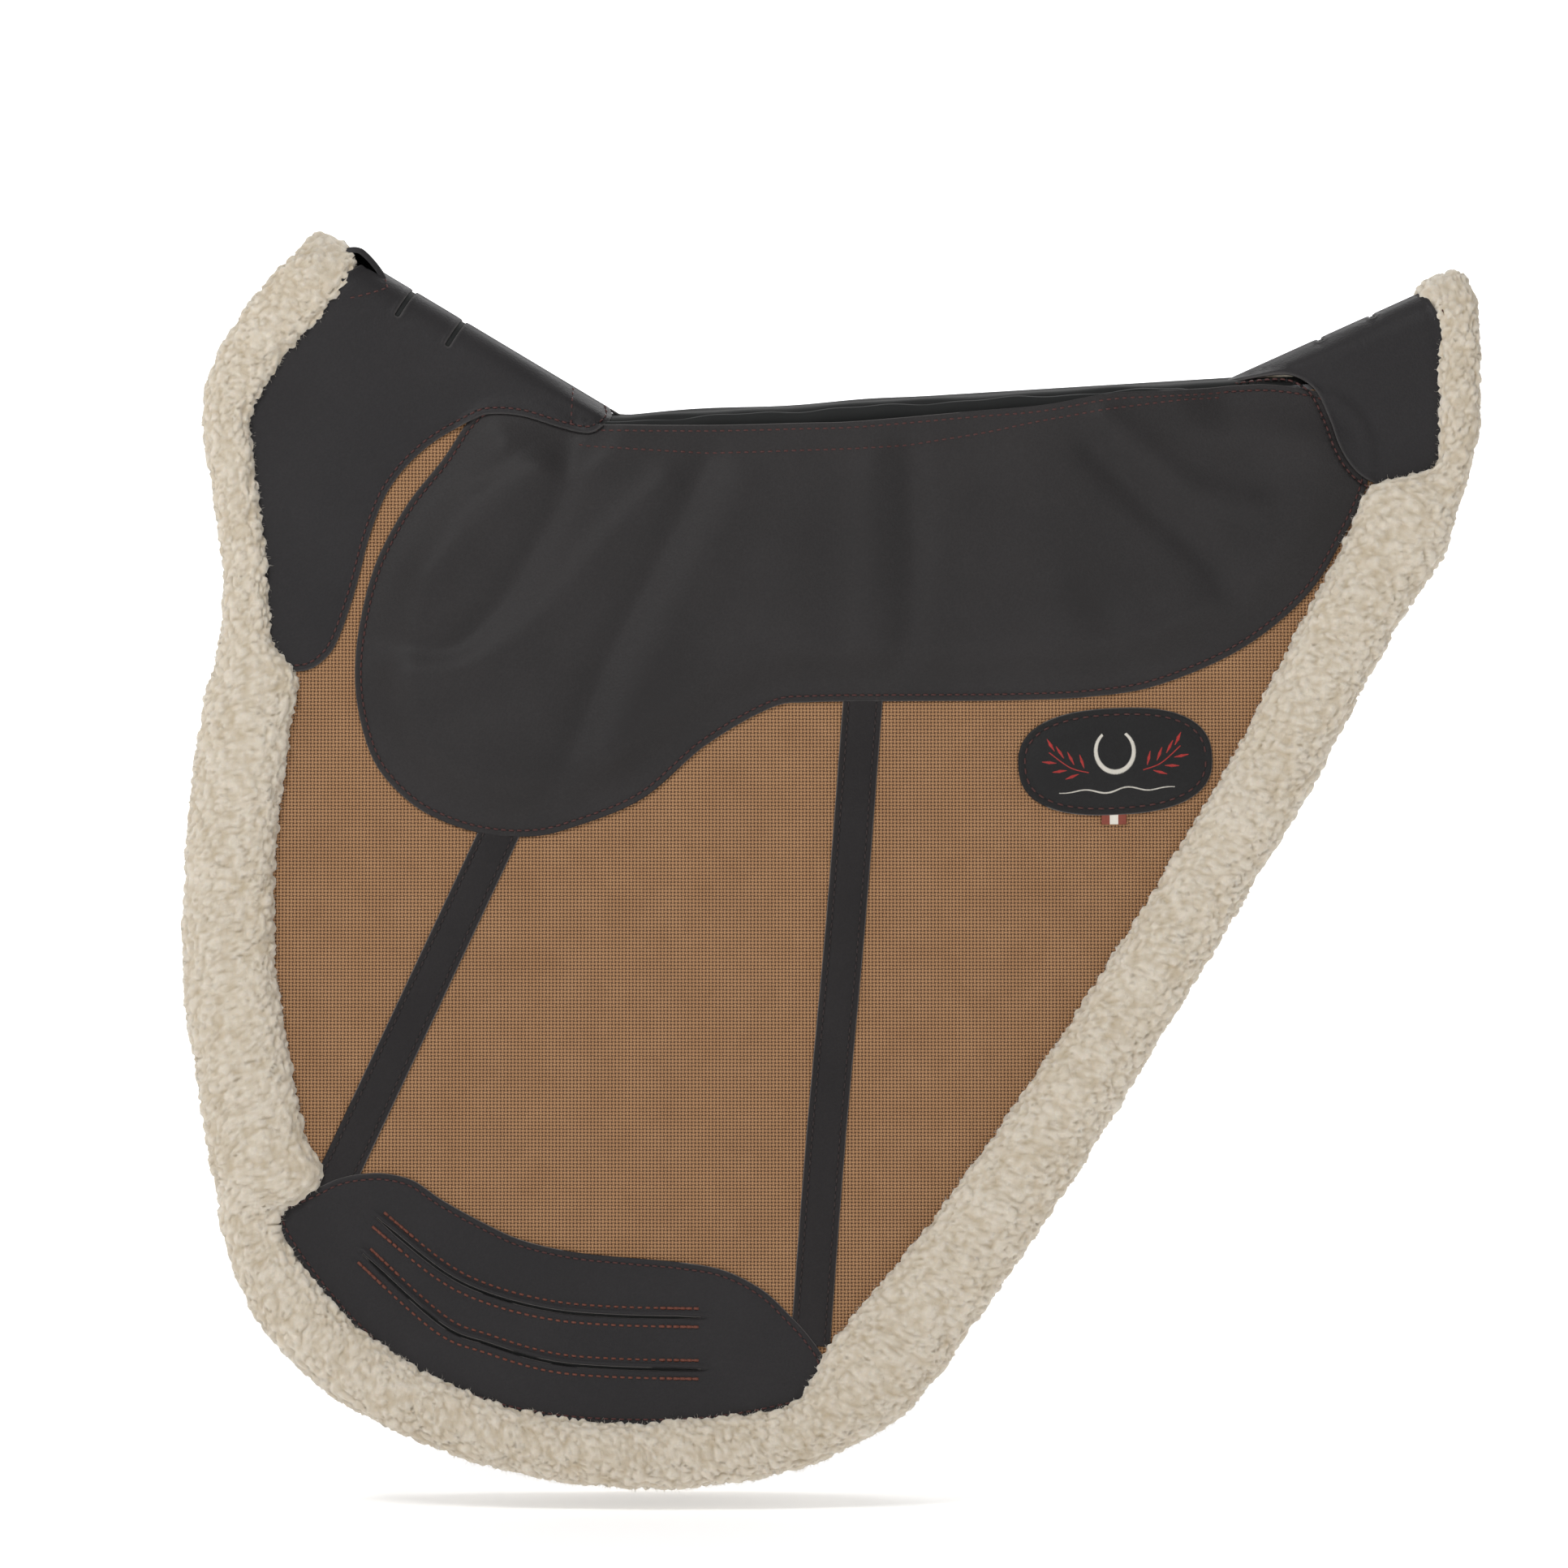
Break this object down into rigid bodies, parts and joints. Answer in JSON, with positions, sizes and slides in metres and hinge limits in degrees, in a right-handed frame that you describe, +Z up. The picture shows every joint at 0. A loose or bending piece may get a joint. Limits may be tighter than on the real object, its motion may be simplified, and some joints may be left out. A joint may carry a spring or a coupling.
{
  "type": "saddle pad",
  "caption": "Fleece-lined endurance saddle pad, folded over its spine, with a rolled fleece edge, insert pockets, strap slots and slit wear patches.",
  "frame": {"origin": "on the fold line in the middle of the spine strip, where a rack rail holds the hanging pad", "axes": "+X towards the horse's rear, +Y towards its right side, across the two sides, +Z up as the pad hangs"},
  "size_m": [0.6548, 0.1104, 0.6382],
  "materials": {
    "cover_leather": "smooth dark brown-black synthetic leather, fine grain, satin",
    "pocket_leather": "soft dark brown-black synthetic leather, matt, slightly creased",
    "band_leather": "dark brown-black synthetic leather strip, matt",
    "fleece": "cream curly sheepskin pile",
    "foam": "grey closed-cell foam, matt",
    "tan_mesh": "tan plain-woven coated mesh, matt",
    "black_lining": "smooth black lining, satin",
    "badge_leather": null,
    "woven_tag": "woven striped ribbon"
  },
  "bodies": {
    "spine": {"front_spine_cover": "cover_leather", "rear_spine_cover": "cover_leather", "front_spine_fleece": "fleece", "rear_spine_fleece": "fleece", "front_peak_roll": "fleece", "rear_peak_roll": "fleece", "spine_strip": "black_lining", "front_loop": "cover_leather"},
    "left_side": {"left_fleece_lining": "fleece", "left_foam_core": "foam", "left_mesh_panel": "tan_mesh", "left_front_roll": "fleece", "left_bottom_roll": "fleece", "left_rear_roll": "fleece", "left_front_wing": "cover_leather", "left_rear_wing": "cover_leather", "left_pocket_panel": "pocket_leather", "left_pocket_facing": "pocket_leather", "left_pocket_lining": "black_lining", "left_front_band": "band_leather", "left_rear_band": "band_leather", "left_wear_patch": "cover_leather", "left_badge": "badge_leather", "left_badge_tag": "woven_tag"},
    "left_insert": {"left_pocket_insert": "foam"},
    "right_side": {"right_fleece_lining": "fleece", "right_foam_core": "foam", "right_mesh_panel": "tan_mesh", "right_front_roll": "fleece", "right_bottom_roll": "fleece", "right_rear_roll": "fleece", "right_front_wing": "cover_leather", "right_rear_wing": "cover_leather", "right_pocket_panel": "pocket_leather", "right_pocket_facing": "pocket_leather", "right_pocket_lining": "black_lining", "right_front_band": "band_leather", "right_rear_band": "band_leather", "right_wear_patch": "cover_leather", "right_badge": "badge_leather", "right_badge_tag": "woven_tag"},
    "right_insert": {"right_pocket_insert": "foam"}
  },
  "joints": [
    {"name": "left_side_fold", "type": "hinge", "parent": "spine", "child": "left_side", "pos_m": [0, -0.0185, 0], "axis": [-0.9982, 0, -0.0604], "range_deg": [0, 88]},
    {"name": "left_insert_slide", "type": "slide", "parent": "left_side", "child": "left_insert", "axis": [0.0001, 0.0522, 0.9986], "range_m": [0, 0.028]},
    {"name": "right_side_fold", "type": "hinge", "parent": "spine", "child": "right_side", "pos_m": [0, 0.0185, 0], "axis": [0.9982, 0, 0.0604], "range_deg": [0, 88]},
    {"name": "right_insert_slide", "type": "slide", "parent": "right_side", "child": "right_insert", "axis": [0.0001, -0.0522, 0.9986], "range_m": [0, 0.028]}
  ]
}
